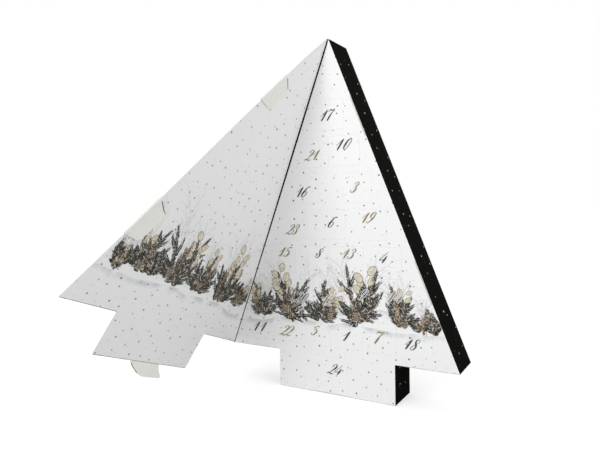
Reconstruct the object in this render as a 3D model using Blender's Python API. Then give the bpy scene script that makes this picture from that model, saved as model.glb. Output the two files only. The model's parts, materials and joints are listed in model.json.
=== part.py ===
"""Tree-shaped advent calendar in creased board.

A shallow box in the outline of a fir tree stands on its trunk. Its front panel has twenty-four doors, each
on an upright crease, and a divider insert behind them makes one compartment for each door. A cover leaf of
the same outline turns on the left slope and carries three tuck tabs, whose slots are cut into the edge of
the front panel. Metres, +Z up, the front faces -Y, and the origin is the middle of the trunk's foot.
"""
import math

import bmesh
import bpy
from mathutils import Matrix, Quaternion, Vector

# The tree's outline and the depth of the box
TREE_WIDTH = 0.320
TREE_HEIGHT = 0.402
TRUNK_WIDTH = 0.165
TRUNK_HEIGHT = 0.050
DEPTH = 0.052

# Board thicknesses, and the gap that neighbouring pieces keep
BOX_BOARD = 0.0015
INSERT_BOARD = 0.0012
COVER_BOARD = 0.0009
TAB_BOARD = 0.0005
GAP = 0.0003

# Doors: their side, the cut around them, the board left beside them, and the numbers printed on them,
# row by row from the lowest row of the tree upwards, each row from left to right
DOOR_SIDE = 0.038
DOOR_CUT = 0.0004
DOOR_WEB = 0.005
SLOPE_MARGIN = 0.011
SILL = 0.012
TRUNK_SILL = 0.011
TRUNK_LINTEL = 0.001
ROW_NUMBERS = [(11, 22, 5, 1, 7, 18), (2, 20, 12, 9, 14), (15, 8, 13, 4), (23, 6, 19), (16, 3), (21, 10), (17,)]
TRUNK_NUMBER = 24

# Cover leaf: how far it stands open, how much smaller than the box it is, and its crease strip
COVER_OPENING = math.radians(93.0)
COVER_INSET = 0.0005
HINGE_STRIP = 0.0024

# Tuck tabs: the crease, the reach and the taper of one tab, where they sit and how far they are folded
TAB_LENGTH = 0.051
TAB_REACH = 0.019
TAB_TAPER = 0.006
TAB_CORNER = 0.006
TAB_LIFT = 0.00015
UPPER_TAB_HEIGHT = 0.352
LOWER_TAB_HEIGHT = 0.152
TRUNK_TAB_OFFSET = -0.0025
FOLDED_OVER = math.radians(175.0)
FOLDED_BACK = math.radians(70.0)

# Slots for the tabs, cut into the front panel's edge
SLOT_SPARE = 0.0015
SLOT_WIDTH = 0.0010
SHELF_END_GAP = 0.0014

CORNER_STEPS = 4
FRONT = -DEPTH / 2
BACK = DEPTH / 2
SLOPE_LENGTH = math.hypot(TREE_WIDTH / 2, TREE_HEIGHT)
SLOPE_COS = TREE_HEIGHT / SLOPE_LENGTH
SLOPE_SIN = TREE_WIDTH / 2 / SLOPE_LENGTH

# The outline's corners in X and Z, anticlockwise as seen from the front, and the edge that leaves each one
CORNERS = [
    (-TRUNK_WIDTH / 2, 0),
    (TRUNK_WIDTH / 2, 0),
    (TRUNK_WIDTH / 2, TRUNK_HEIGHT),
    (TREE_WIDTH / 2, TRUNK_HEIGHT),
    (0, TRUNK_HEIGHT + TREE_HEIGHT),
    (-TREE_WIDTH / 2, TRUNK_HEIGHT),
    (-TRUNK_WIDTH / 2, TRUNK_HEIGHT),
]
EDGES = ["trunk_foot", "trunk_right", "base_right", "slope_right", "slope_left", "base_left", "trunk_left"]


def clear_scene():
    for thing in list(bpy.data.objects):
        bpy.data.objects.remove(thing, do_unlink=True)


def material(name, colour, roughness):
    """A plain Principled material."""
    made = bpy.data.materials.new(name)
    made.use_nodes = True
    shader = made.node_tree.nodes["Principled BSDF"]
    shader.inputs["Base Color"].default_value = (*colour, 1)
    shader.inputs["Roughness"].default_value = roughness
    shader.inputs["Metallic"].default_value = 0
    return made


def add_object(name, mesh, finish):
    made = bpy.data.objects.new(name, mesh)
    if not mesh.materials:
        mesh.materials.append(finish)
    bpy.context.collection.objects.link(made)
    return made


def add_empty(name, location, turn, parent=None):
    """An empty that stands on a crease and carries what turns there."""
    made = bpy.data.objects.new(name, None)
    made.rotation_mode = "QUATERNION"
    made.location = location
    made.rotation_quaternion = turn
    made.parent = parent
    bpy.context.collection.objects.link(made)
    return made


def slab(name, outline, low, high, axis):
    """A mesh of the outline, a list of pairs, drawn out between two values of the axis that it leaves out."""
    shape = bmesh.new()
    corners = []
    for first, second in outline:
        place = {"y": (first, low, second), "z": (first, second, low)}[axis]
        corners.append(shape.verts.new(place))
    face = shape.faces.new(corners)
    drawn = bmesh.ops.extrude_face_region(shape, geom=[face])
    step = {"y": (0, high - low, 0), "z": (0, 0, high - low)}[axis]
    moved = [part for part in drawn["geom"] if isinstance(part, bmesh.types.BMVert)]
    bmesh.ops.translate(shape, verts=moved, vec=step)
    bmesh.ops.recalc_face_normals(shape, faces=shape.faces)
    mesh = bpy.data.meshes.new(name)
    shape.to_mesh(mesh)
    shape.free()
    return mesh


def inset(corners, distances):
    """The outline with each edge moved inwards by its own distance."""
    count = len(corners)
    lines = []
    for index, distance in enumerate(distances):
        start = Vector(corners[index])
        along = (Vector(corners[(index + 1) % count]) - start).normalized()
        inward = Vector((-along.y, along.x))
        lines.append((start + inward * distance, along))
    points = []
    for index in range(count):
        (p, d), (q, e) = lines[index - 1], lines[index]
        reach = (q - p).cross(e) / d.cross(e)
        points.append(tuple(p + d * reach))
    return points


def tree_inset(every, **other):
    """The tree's outline moved inwards, with some of its named edges by a distance of their own."""
    return inset(CORNERS, [other.get(edge, every) for edge in EDGES])


def half_width(height, from_slope=0.0):
    """Half the tree's width at a height above the foot, less a distance square to each slope."""
    return TREE_WIDTH / 2 * (1 - (height - TRUNK_HEIGHT) / TREE_HEIGHT) - from_slope / SLOPE_COS


def mitred_strip(outer, inner, index, cut_start, cut_end):
    """One side of a folded ring of board: the strip between two outlines, drawn back where its ends meet."""
    following = (index + 1) % len(outer)
    a, b = Vector(outer[index]), Vector(outer[following])
    c, d = Vector(inner[following]), Vector(inner[index])
    along = (b - a).normalized()
    return [tuple(a + along * cut_start), tuple(b - along * cut_end),
            tuple(c - along * cut_end), tuple(d + along * cut_start)]


def mitre_cut(angle):
    """How far a strip is drawn back along its edge to leave half the gap at a corner of this angle."""
    return GAP / 2 / math.sin(angle / 2)


def door_rows():
    """Every door as (number, left, right, bottom, top), the trunk's first, and the rows' middle heights."""
    lowest = TRUNK_HEIGHT + SILL + DOOR_SIDE / 2
    top_edge = TRUNK_HEIGHT + TREE_HEIGHT * (1 - (DOOR_SIDE / 2 + SLOPE_MARGIN) / (TREE_WIDTH / 2))
    pitch = (top_edge - DOOR_SIDE / 2 - lowest) / (len(ROW_NUMBERS) - 1)
    trunk_top = TRUNK_HEIGHT - TRUNK_LINTEL
    rows = [[(TRUNK_NUMBER, -DOOR_SIDE / 2, DOOR_SIDE / 2, TRUNK_SILL, trunk_top)]]
    for row, numbers in enumerate(ROW_NUMBERS):
        bottom = lowest + pitch * row - DOOR_SIDE / 2
        top = bottom + DOOR_SIDE
        spread = 2 * (half_width(top) - SLOPE_MARGIN) - DOOR_SIDE
        step = max(DOOR_SIDE + DOOR_WEB, spread / max(len(numbers) - 1, 1))
        first = -step * (len(numbers) - 1) / 2 - DOOR_SIDE / 2
        doors = []
        for place, number in enumerate(numbers):
            left = first + step * place
            doors.append((number, left, left + DOOR_SIDE, bottom, top))
        rows.append(doors)
    return rows


def add_boxes(name, boxes):
    """A hidden cutter made of separate boxes, each given as (matrix, size)."""
    shape = bmesh.new()
    for place, size in boxes:
        bmesh.ops.create_cube(shape, size=1, matrix=place @ Matrix.Diagonal((*size, 1)))
    mesh = bpy.data.meshes.new(name)
    shape.to_mesh(mesh)
    shape.free()
    cutter = bpy.data.objects.new(name, mesh)
    cutter.hide_render = True
    cutter.display_type = "WIRE"
    bpy.context.collection.objects.link(cutter)
    return cutter


def tab_places():
    """Each tab's name, the middle of its crease in X and Z, the way it points, and how far it is folded."""
    places = []
    for name, height in (("tuck_tab_upper", UPPER_TAB_HEIGHT), ("tuck_tab_lower", LOWER_TAB_HEIGHT)):
        crease = (half_width(height, COVER_INSET), height)
        places.append((name, crease, (SLOPE_COS, SLOPE_SIN), FOLDED_OVER))
    places.append(("tuck_tab_trunk", (TRUNK_TAB_OFFSET, COVER_INSET), (0, -1), FOLDED_BACK))
    return places


def add_walls(black):
    """The folded sides of the box: two slopes, the floor of the tree, and the trunk's sides and foot."""
    low, high = FRONT + BOX_BOARD + GAP, BACK - BOX_BOARD - GAP
    tree = [CORNERS[5], CORNERS[3], CORNERS[4]]
    inner = inset(tree, [BOX_BOARD] * 3)
    base_cut = mitre_cut(math.atan2(TREE_HEIGHT, TREE_WIDTH / 2))
    apex_cut = mitre_cut(2 * math.atan2(TREE_WIDTH / 2, TREE_HEIGHT))
    for index, name in enumerate(("base_floor", "right_wall", "left_wall")):
        start = base_cut if index < 2 else apex_cut
        end = apex_cut if index == 1 else base_cut
        outline = mitred_strip(tree, inner, index, start, end)
        add_object(name, slab(name, outline, low, high, "y"), black)
    half, top = TRUNK_WIDTH / 2, TRUNK_HEIGHT - GAP
    trunk = [(-half, 0), (half, 0), (half, top), (-half, top)]
    inner = inset(trunk, [BOX_BOARD, BOX_BOARD, 0, BOX_BOARD])
    corner_cut = mitre_cut(math.pi / 2)
    for index, name in ((0, "trunk_floor"), (1, "trunk_right_wall"), (3, "trunk_left_wall")):
        start = 0 if index == 3 else corner_cut
        end = 0 if index == 1 else corner_cut
        outline = mitred_strip(trunk, inner, index, start, end)
        add_object(name, slab(name, outline, low, high, "y"), black)


def add_panels(rows, white, black):
    """The back, the front with its door openings and tab slots, and the crease strip beside it."""
    add_object("back_panel", slab("back_panel", tree_inset(0), BACK - BOX_BOARD, BACK, "y"), black)

    outline = tree_inset(0, slope_left=HINGE_STRIP + GAP)
    front = add_object("front_panel", slab("front_panel", outline, FRONT, FRONT + BOX_BOARD, "y"), white)
    boxes = []
    for number, left, right, bottom, top in (door for row in rows for door in row):
        middle = Matrix.Translation(((left + right) / 2, FRONT, (bottom + top) / 2))
        boxes.append((middle, (right - left, 4 * BOX_BOARD, top - bottom)))
    depth = BOX_BOARD + GAP + SLOT_WIDTH
    for name, (x, z), (out_x, out_z), fold in tab_places():
        edge_x, edge_z = x + out_x * COVER_INSET, z + out_z * COVER_INSET
        turn = Matrix.Rotation(math.atan2(-out_z, out_x), 4, "Y")
        middle = Matrix.Translation((edge_x, FRONT, edge_z)) @ turn
        boxes.append((middle, (2 * depth, 4 * BOX_BOARD, TAB_LENGTH + 2 * SLOT_SPARE)))
    cut = front.modifiers.new("door_openings", "BOOLEAN")
    cut.object = add_boxes("front_cutter", boxes)
    cut.operation = "DIFFERENCE"
    cut.solver = "EXACT"

    strip = [CORNERS[5], tree_inset(0, slope_left=HINGE_STRIP)[5], tree_inset(0, slope_left=HINGE_STRIP)[4],
             CORNERS[4]]
    add_object("hinge_strip", slab("hinge_strip", strip, FRONT, FRONT + BOX_BOARD, "y"), black)


def add_insert(rows, board):
    """The divider insert: a shelf between every two rows, and an upright between every two doors."""
    low, high = FRONT + BOX_BOARD + GAP, BACK - BOX_BOARD - GAP
    floor = TRUNK_HEIGHT + BOX_BOARD
    tree_rows = rows[1:]
    for index, doors in enumerate(tree_rows):
        ceiling = None
        if index + 1 < len(tree_rows):
            ceiling = (doors[0][4] + tree_rows[index + 1][0][3] - INSERT_BOARD) / 2
            ends = BOX_BOARD + SHELF_END_GAP
            bottom, top = half_width(ceiling, ends), half_width(ceiling + INSERT_BOARD, ends)
            outline = [(-bottom, ceiling), (bottom, ceiling), (top, ceiling + INSERT_BOARD),
                       (-top, ceiling + INSERT_BOARD)]
            name = f"shelf_{index + 1}"
            add_object(name, slab(name, outline, low, high, "y"), board)
        for place, (door, following) in enumerate(zip(doors, doors[1:])):
            left = (door[2] + following[1] - INSERT_BOARD) / 2
            right = left + INSERT_BOARD
            outline = [(left, floor + GAP), (right, floor + GAP), (right, ceiling - GAP), (left, ceiling - GAP)]
            name = f"divider_{index + 1}_{place + 1}"
            add_object(name, slab(name, outline, low, high, "y"), board)
        if ceiling is not None:
            floor = ceiling + INSERT_BOARD


def add_doors(rows, white):
    """The doors. Each one's origin is the foot of its crease, the front left edge."""
    for number, left, right, bottom, top in (door for row in rows for door in row):
        wide, tall = right - left - 2 * DOOR_CUT, top - bottom - 2 * DOOR_CUT
        name = f"door_{number:02d}"
        outline = [(0, 0), (wide, 0), (wide, tall), (0, tall)]
        door = add_object(name, slab(name, outline, 0, BOX_BOARD, "y"), white)
        door.location = (left + DOOR_CUT, FRONT, bottom + DOOR_CUT)


def tab_outline():
    """A tab lying flat: along its crease and outwards from it, tapered, with rounded outer corners."""
    lean = math.atan2(TAB_TAPER, TAB_REACH)
    swing = math.pi / 2 + lean
    back = TAB_CORNER * math.tan((math.pi / 2 - lean) / 2)
    middle = (TAB_LENGTH / 2 - TAB_TAPER - back, TAB_REACH - TAB_CORNER)
    right = [(TAB_LENGTH / 2 - TAB_TAPER * GAP / TAB_REACH, GAP)]
    for step in range(CORNER_STEPS + 1):
        turn = lean + (math.pi / 2 - lean) * step / CORNER_STEPS
        right.append((middle[0] + TAB_CORNER * math.cos(turn), middle[1] + TAB_CORNER * math.sin(turn)))
    left = [(-x, y) for x, y in reversed(right)]
    return right + left


def add_cover(white, cream):
    """The cover leaf on its crease, drawn closed and then turned open, with the tabs on its free edges."""
    foot = Vector((-TREE_WIDTH / 2, FRONT - GAP, TRUNK_HEIGHT))
    axis = Vector((-TREE_WIDTH / 2, 0, -TREE_HEIGHT)).normalized()
    crease = add_empty("cover_crease", foot, Quaternion(axis, COVER_OPENING))
    outline = [(x - foot.x, z - foot.z) for x, z in tree_inset(COVER_INSET, slope_left=GAP)]
    leaf = add_object("cover_board", slab("cover_board", outline, -COVER_BOARD, 0, "y"), white)
    leaf.parent = crease
    for name, (x, z), (out_x, out_z), fold in tab_places():
        along = Vector((-out_z, 0, out_x))
        out = Vector((out_x, 0, out_z))
        square = Matrix((along, out, along.cross(out))).transposed().to_quaternion()
        place = Vector((x - foot.x, TAB_LIFT, z - foot.z))
        fold_line = add_empty(name + "_crease", place, square @ Quaternion((1, 0, 0), fold), crease)
        tab = add_object(name, slab(name, tab_outline(), -TAB_LIFT - TAB_BOARD, -TAB_LIFT, "z"), cream)
        tab.parent = fold_line


def main():
    clear_scene()
    front_white = material("front_white", (0.86, 0.86, 0.86), 0.55)
    door_white = material("door_white", (0.90, 0.90, 0.89), 0.55)
    cover_white = material("cover_white", (0.84, 0.84, 0.85), 0.55)
    tab_cream = material("tab_cream", (0.80, 0.79, 0.74), 0.7)
    wrap_black = material("wrap_black", (0.012, 0.013, 0.011), 0.45)
    insert_grey = material("insert_grey", (0.62, 0.58, 0.50), 0.85)
    rows = door_rows()
    add_walls(wrap_black)
    add_panels(rows, front_white, wrap_black)
    add_insert(rows, insert_grey)
    add_doors(rows, door_white)
    add_cover(cover_white, tab_cream)


main()
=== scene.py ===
# %% [markdown]
# # A fir-tree advent calendar
# The calendar is a shallow box of white board in the outline of a fir tree, wrapped in black at its sides. A
# cover leaf of the same outline stands open at its left slope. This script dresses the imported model: it cuts
# the printed boards, the doors, the wrap and the tuck tabs, prints them, and sets up the camera and the
# light.

# %% Load the frame
import json
import math
import random

import bmesh
import bpy
from mathutils import Matrix, Vector


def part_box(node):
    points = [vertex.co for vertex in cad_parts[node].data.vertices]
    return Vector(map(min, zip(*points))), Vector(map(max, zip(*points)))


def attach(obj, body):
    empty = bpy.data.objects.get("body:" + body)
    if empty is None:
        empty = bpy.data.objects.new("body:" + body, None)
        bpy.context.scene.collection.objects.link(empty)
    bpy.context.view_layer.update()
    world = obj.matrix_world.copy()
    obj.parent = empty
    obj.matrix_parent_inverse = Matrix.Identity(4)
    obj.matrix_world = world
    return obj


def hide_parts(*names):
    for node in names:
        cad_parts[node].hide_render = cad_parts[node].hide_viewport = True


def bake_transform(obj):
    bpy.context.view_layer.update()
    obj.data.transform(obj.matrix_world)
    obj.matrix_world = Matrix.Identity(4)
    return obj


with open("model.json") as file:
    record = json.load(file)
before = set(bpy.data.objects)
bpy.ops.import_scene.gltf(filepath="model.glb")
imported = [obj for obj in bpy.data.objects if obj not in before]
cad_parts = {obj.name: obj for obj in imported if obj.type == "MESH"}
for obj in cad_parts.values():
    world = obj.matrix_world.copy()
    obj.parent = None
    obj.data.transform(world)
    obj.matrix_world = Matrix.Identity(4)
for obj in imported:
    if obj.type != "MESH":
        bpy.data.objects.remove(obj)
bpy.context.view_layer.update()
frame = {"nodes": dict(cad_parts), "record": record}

# %% [markdown]
# ## Sizes
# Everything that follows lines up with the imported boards, so its sizes are read from their boxes and joints
# and not written again. Only what is finer than those boards has a value of its own.

# %% Read the sizes
MM = 0.001
front_low, front_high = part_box("front_panel")
back_low, back_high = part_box("back_panel")
floor_low, floor_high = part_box("base_floor")
FRONT = front_low.y
BACK = back_high.y
BOARD = front_high.y - front_low.y
TREE_HALF = back_high.x
APEX = back_high.z
TREE_FOOT = floor_low.z
TRUNK_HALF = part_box("trunk_floor")[1].x + 0.15 * MM
GAP = 0.3 * MM
SLOPE = Vector((TREE_HALF, 0, APEX - TREE_FOOT)).normalized()
joints = {joint["name"]: joint for joint in frame["record"]["behaviour"]["joints"]}
DOORS = sorted(name for name in frame["nodes"] if name.startswith("door_"))
print(len(DOORS), "doors; tree", round(TREE_HALF * 2 / MM), "x", round(APEX / MM), "mm")


def half_width(height):
    """Half the tree's width at a height."""
    return TREE_HALF * (APEX - height) / (APEX - TREE_FOOT)


def down_slope(height):
    """0 at the apex and 1 at the tree's foot."""
    return (APEX - height) / (APEX - TREE_FOOT)


def from_slope(point, side):
    """How far inside a slope a point lies, square to it. The side is -1 on the left and 1 on the right."""
    return (half_width(point.z) - side * point.x) * SLOPE.z


def joint_turn(name, degrees):
    """The matrix that turns what hangs on a joint by some degrees."""
    place = Vector(joints[name]["pos_m"])
    axis = Vector(joints[name]["axis"])
    turn = Matrix.Rotation(math.radians(degrees), 4, axis)
    return Matrix.Translation(place) @ turn @ Matrix.Translation(-place)


# %% [markdown]
# The cover leaf is drawn as if it were shut, where it lies flat on the front, and is then turned open. The
# same matrix carries its outline, its print and the drawings on it.

# %% The cover's opening
COVER_OPENING = 93
opened = joint_turn("cover_crease", COVER_OPENING)
shut = opened.inverted()
print("cover stands open at", COVER_OPENING, "degrees")

# %% [markdown]
# ## Camera
# The camera could be placed by eye, but a calendar's straight edges show every degree. So it was found by
# matching the corners of the tree, the trunk and the cover. It looks from the right and a little from above,
# and it is rolled by about a degree.

# %% Camera
CAMERA_DISTANCE = 704.3 * MM
CAMERA_LENS = 32.19
azimuth, elevation, roll = math.radians(30.79), math.radians(2.52), math.radians(-1.19)
backwards = Vector((math.sin(azimuth) * math.cos(elevation), -math.cos(azimuth) * math.cos(elevation),
                    math.sin(elevation)))
level_right = Vector((math.cos(azimuth), math.sin(azimuth), 0))
level_up = backwards.cross(level_right)
right = math.cos(roll) * level_right + math.sin(roll) * level_up
up = math.cos(roll) * level_up - math.sin(roll) * level_right
target = Vector((-46.4 * MM, FRONT, 218.6 * MM))
camera_data = bpy.data.cameras.new("camera")
camera_data.lens = CAMERA_LENS
camera = bpy.data.objects.new("camera", camera_data)
turned = Matrix((right, up, backwards)).transposed().to_4x4()
camera.matrix_world = Matrix.Translation(target + backwards * CAMERA_DISTANCE) @ turned
bpy.context.collection.objects.link(camera)
bpy.context.scene.camera = camera
bpy.context.scene.view_settings.view_transform = "Standard"
print("camera at", [round(value, 3) for value in camera.location])

# %% [markdown]
# ## Writing shaders as sums
# A shader is easier to read as arithmetic than as a web of nodes. The small class below wraps one socket, so
# that a plus or a minus in Python adds the Math node that does it. Every other node comes from `Nodes.add`.


# %% Shader helpers
class Wire:
    """One output socket. Python's arithmetic on it adds a Math node."""

    def __init__(self, nodes, socket):
        self.nodes = nodes
        self.socket = socket

    def join(self, operation, *values):
        return self.nodes.add("ShaderNodeMath", {"operation": operation}, dict(enumerate(values)))["Value"]

    def __add__(self, other):
        return self.join("ADD", self, other)

    def __radd__(self, other):
        return self.join("ADD", other, self)

    def __sub__(self, other):
        return self.join("SUBTRACT", self, other)

    def __rsub__(self, other):
        return self.join("SUBTRACT", other, self)

    def __mul__(self, other):
        return self.join("MULTIPLY", self, other)

    def __rmul__(self, other):
        return self.join("MULTIPLY", other, self)

    def __lt__(self, other):
        return self.join("LESS_THAN", self, other)

    def __gt__(self, other):
        return self.join("GREATER_THAN", self, other)


class Outputs:
    """A node's outputs, by name or by number."""

    def __init__(self, nodes, node):
        self.nodes = nodes
        self.node = node

    def __getitem__(self, key):
        return Wire(self.nodes, self.node.outputs[key])


class Nodes:
    """A node tree, and the one way in which this script adds to it."""

    def __init__(self, tree):
        self.tree = tree

    def feed(self, socket, value):
        if isinstance(value, Wire):
            self.tree.links.new(value.socket, socket)
        else:
            socket.default_value = value

    def add(self, kind, settings=None, inputs=None):
        """A new node: first its settings, a ramp's stops among them, and then its inputs' values or links."""
        node = self.tree.nodes.new(kind)
        for name, value in (settings or {}).items():
            if name == "stops":
                ramp = node.color_ramp
                ramp.interpolation = "CONSTANT"
                for index, (position, colour) in enumerate(value):
                    stop = ramp.elements[index] if index < len(ramp.elements) else ramp.elements.new(position)
                    stop.position = position
                    stop.color = (*colour, 1)
            else:
                setattr(node, name, value)
        for key, value in (inputs or {}).items():
            self.feed(node.inputs[key], value)
        return Outputs(self, node)

    def mix(self, factor, first, second):
        """The first colour where the factor is 0, and the second where it is 1."""
        return self.add("ShaderNodeMix", {"data_type": "RGBA"}, {0: factor, 6: first, 7: second})[2]

    def rise(self, value, low, high):
        """0 below low and 1 above high, with a smooth step between; it falls if low is the higher one."""
        settings = {"interpolation_type": "SMOOTHSTEP"}
        return self.add("ShaderNodeMapRange", settings, {0: value, 1: low, 2: high})["Result"]

    def noise(self, place, scale, detail=2.0):
        inputs = {"Vector": place, "Scale": scale, "Detail": detail}
        return self.add("ShaderNodeTexNoise", None, inputs)["Fac"]

    def split(self, place):
        return self.add("ShaderNodeSeparateXYZ", None, {"Vector": place})

    def surface(self, colour, grain, spread, smoothest, strength, depth):
        """Feed the shader a colour, and a roughness and a fine bump that both follow one grain."""
        self.feed(self.shader["Base Color"], colour)
        self.feed(self.shader["Roughness"], grain * spread + smoothest)
        bump = self.add("ShaderNodeBump", None, {"Strength": strength, "Distance": depth, "Height": grain})
        self.feed(self.shader["Normal"], bump["Normal"])


def new_finish(name, **constants):
    """A new material, and its nodes with the shader's inputs and the piece's own coordinates."""
    finish = bpy.data.materials.new(name)
    finish.use_nodes = True
    nodes = Nodes(finish.node_tree)
    nodes.shader = finish.node_tree.nodes["Principled BSDF"].inputs
    nodes.place = nodes.add("ShaderNodeTexCoord")["Object"]
    for key, value in constants.items():
        nodes.shader[key.replace("_", " ")].default_value = value
    return finish, nodes


print("shader helpers ready")

# %% [markdown]
# ## Light and floor
# The photograph is a cut-out on white under soft, even light: the front is bright, dims beside the crease,
# and the inside of the cover is a step darker. A pale world alone would be flat. So a large lamp in front,
# left of the box, lets the cover shade the front's left side, and a second one on the right fills the cover.
# The floor's own glow is for the camera's rays alone, so it reads as white paper and still takes a shadow.

# %% World and lamps
world = bpy.data.worlds.new("studio")
world.use_nodes = True
bpy.context.scene.world = world
sky = Nodes(world.node_tree)
rays = sky.add("ShaderNodeLightPath")
seen = rays["Is Camera Ray"] + rays["Is Glossy Ray"] + rays["Is Transmission Ray"]
seen = seen.join("MINIMUM", seen, 1)
AMBIENT = 0.62
background = world.node_tree.nodes["Background"].inputs
sky.feed(background["Strength"], seen * (1 - AMBIENT) + AMBIENT)
background["Color"].default_value = (1, 1, 1, 1)


def add_lamp(name, place, size, watts):
    """A round soft lamp that is aimed at the calendar."""
    lamp_data = bpy.data.lights.new(name, "AREA")
    lamp_data.shape = "DISK"
    lamp_data.size = size
    lamp_data.energy = watts
    lamp = bpy.data.objects.new(name, lamp_data)
    lamp.location = place
    lamp.rotation_mode = "QUATERNION"
    lamp.rotation_quaternion = (Vector(place) - LAMP_AIM).to_track_quat("Z", "Y")
    bpy.context.collection.objects.link(lamp)


LAMP_AIM = Vector((0, 0, 0.2))
add_lamp("front_softbox", (-0.72, -2.4, 0.75), 1.2, 21.5)
add_lamp("right_fill", (1.55, -0.62, 0.9), 1.2, 8.7)

floor_shape = bmesh.new()
bmesh.ops.create_circle(floor_shape, cap_ends=True, segments=48, radius=12)
bmesh.ops.translate(floor_shape, verts=floor_shape.verts, vec=(0, 0, -0.1 * MM))
floor_mesh = bpy.data.meshes.new("floor")
floor_shape.to_mesh(floor_mesh)
floor_shape.free()
floor = bpy.data.objects.new("floor", floor_mesh)
bpy.context.collection.objects.link(floor)
FLOOR_GREY = (0.66, 0.66, 0.66, 1)
FLOOR_GLOW = 0.58
paper, nodes = new_finish("floor_paper", Roughness=0.9, Base_Color=FLOOR_GREY, Emission_Strength=FLOOR_GLOW)
seen_floor = nodes.add("ShaderNodeLightPath")["Is Camera Ray"]
nodes.feed(nodes.shader["Emission Color"], nodes.mix(seen_floor, (0, 0, 0, 1), (1, 1, 1, 1)))
floor_mesh.materials.append(paper)
print("lamps and floor set")

# %% [markdown]
# ## Printed board
# The front, its doors and the cover are white coated board with a fine scatter of dots. Thousands of small
# discs could be modelled, but a pattern is lighter and turns with its board. Each dot sits in a cell of a
# Voronoi pattern, whose random colour decides whether the dot is black, grey or gold-brown, how large it is
# and whether it is there at all. Pale washes of grey run across the foot of the printed border like drifts.

# %% Printed board finish
COATED = (0.875, 0.877, 0.880, 1)
WASH = (0.50, 0.55, 0.55, 1)
WASH_STRENGTH = 0.7
FRONT_CORE = (0.42, 0.34, 0.24, 1)
# The leaf's line along its foot is painted shade: its cut edge in shadow.
LEAF_EDGE_SHADE = (0.30, 0.29, 0.26, 1)
# The inks of the dots: from which random number on, and the colour.
DOT_INKS = [(0.0, (0.03, 0.03, 0.03)), (0.42, (0.20, 0.20, 0.20)), (0.70, (0.22, 0.15, 0.07))]
# A layer of dots: its spacing and size in millimetres, the share of cells with a dot, and the ink's strength.
BOARD_DOTS = ((16, 1.1, 0.85, 0.24), (17.5, 1.18, 0.96, 0.92))
DOT_EDGE = 0.12 * MM
# Drifts, in millimetres: the ridge's height and swing, how often it swings, and the depth at which it fades.
DRIFTS = ((112, 14, 9, 13), (92, 10, 13, 10))


def add_dots(nodes, flat, spacing, size, share):
    """A scatter of dots on a flat pattern: its mask, and a number from 0 to 1 for each dot."""
    moved = nodes.add("ShaderNodeVectorMath", {"operation": "ADD"},
                      {0: flat, 1: (share, size * 700, 0)})["Vector"]
    cells = nodes.add("ShaderNodeTexVoronoi", {"voronoi_dimensions": "2D", "feature": "F1"},
                      {"Vector": moved, "Scale": 1 / spacing, "Randomness": 0.75})
    lot = nodes.add("ShaderNodeSeparateColor", None, {"Color": cells["Color"]})
    radius = lot["Red"] * (0.4 * size) + 0.6 * size
    away = cells["Distance"] * spacing
    mask = nodes.rise(away - radius, DOT_EDGE, -DOT_EDGE) * (lot["Green"] < share)
    return mask, lot["Blue"]


def print_dots(nodes, flat, colour, layers, ink):
    """Lay scatters of dots over a colour. The ink is a function of a dot's number."""
    for spacing, size, share, strength in layers:
        mask, lot = add_dots(nodes, flat, spacing * MM, size * MM, share)
        colour = nodes.mix(mask * strength, colour, ink(lot))
    return colour


def printed_board(name, core_and_edge_shade, edge_line_start=0.0, leaf=False):
    """White board with its printed dots and drifts, in the plane of the front, or of the leaf when shut."""
    finish, nodes = new_finish(name)
    place = nodes.place
    if leaf:
        turn = {"Location": shut.to_translation(), "Rotation": shut.to_euler()}
        place = nodes.add("ShaderNodeMapping", None, {"Vector": place, **turn})["Vector"]
    across, height = nodes.split(place)["X"], nodes.split(place)["Z"]
    wobble = nodes.noise(place, 700) * (0.7 * MM)
    flat = nodes.add("ShaderNodeCombineXYZ", None, {"X": across + wobble, "Y": height - wobble})["Vector"]

    def ink(lot):
        return nodes.add("ShaderNodeValToRGB", {"stops": DOT_INKS}, {"Fac": lot})["Color"]

    colour = print_dots(nodes, flat, drift_wash(nodes, across, height, place), BOARD_DOTS, ink)
    colour = nodes.mix(cut_line(nodes, across, height, place, edge_line_start), colour, core_and_edge_shade)
    fibre = nodes.noise(place, 900, 4)
    nodes.surface(colour, fibre, spread=0.16, smoothest=0.38, strength=0.12, depth=0.03 * MM)
    return finish


def drift_wash(nodes, across, height, place):
    """The board's white with pale grey drifts: below each ridge line the wash starts firm and fades out."""
    colour = COATED
    patches = nodes.noise(place, 45, 3)
    for level, swing, scale, fade in DRIFTS:
        line = nodes.add("ShaderNodeTexNoise", {"noise_dimensions": "1D"},
                         {"W": across + level * MM, "Scale": scale, "Detail": 1})["Fac"]
        depth = line * (swing * 2 * MM) + (level - swing) * MM - height
        mask = nodes.rise(depth, 0, 1.2 * MM) * nodes.rise(depth, fade * MM, 2 * MM)
        mask = mask * nodes.rise(patches, 0.38, 0.62)
        colour = nodes.mix(mask * WASH_STRENGTH, colour, WASH)
    return colour


def cut_line(nodes, across, height, place, start):
    """Where the foot of the tree and of the trunk is lined: the cut board's raw edge on the front, painted
    shade on the leaf.
    """
    ragged = nodes.noise(place, 160, 3) * (1.1 * MM) + start
    beyond = TRUNK_HALF - across.join("ABSOLUTE", across)
    tree = (height - ragged < TREE_FOOT) * (beyond < 0)
    return tree + (height - ragged < 0)


print_front = printed_board("print_front", FRONT_CORE)
# On the leaf that line is painted shade: the grey of the leaf's cut edge in shadow.
print_cover = printed_board("print_cover", LEAF_EDGE_SHADE, 0.7 * MM, leaf=True)
print("printed boards:", print_front.name, print_cover.name)
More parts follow.
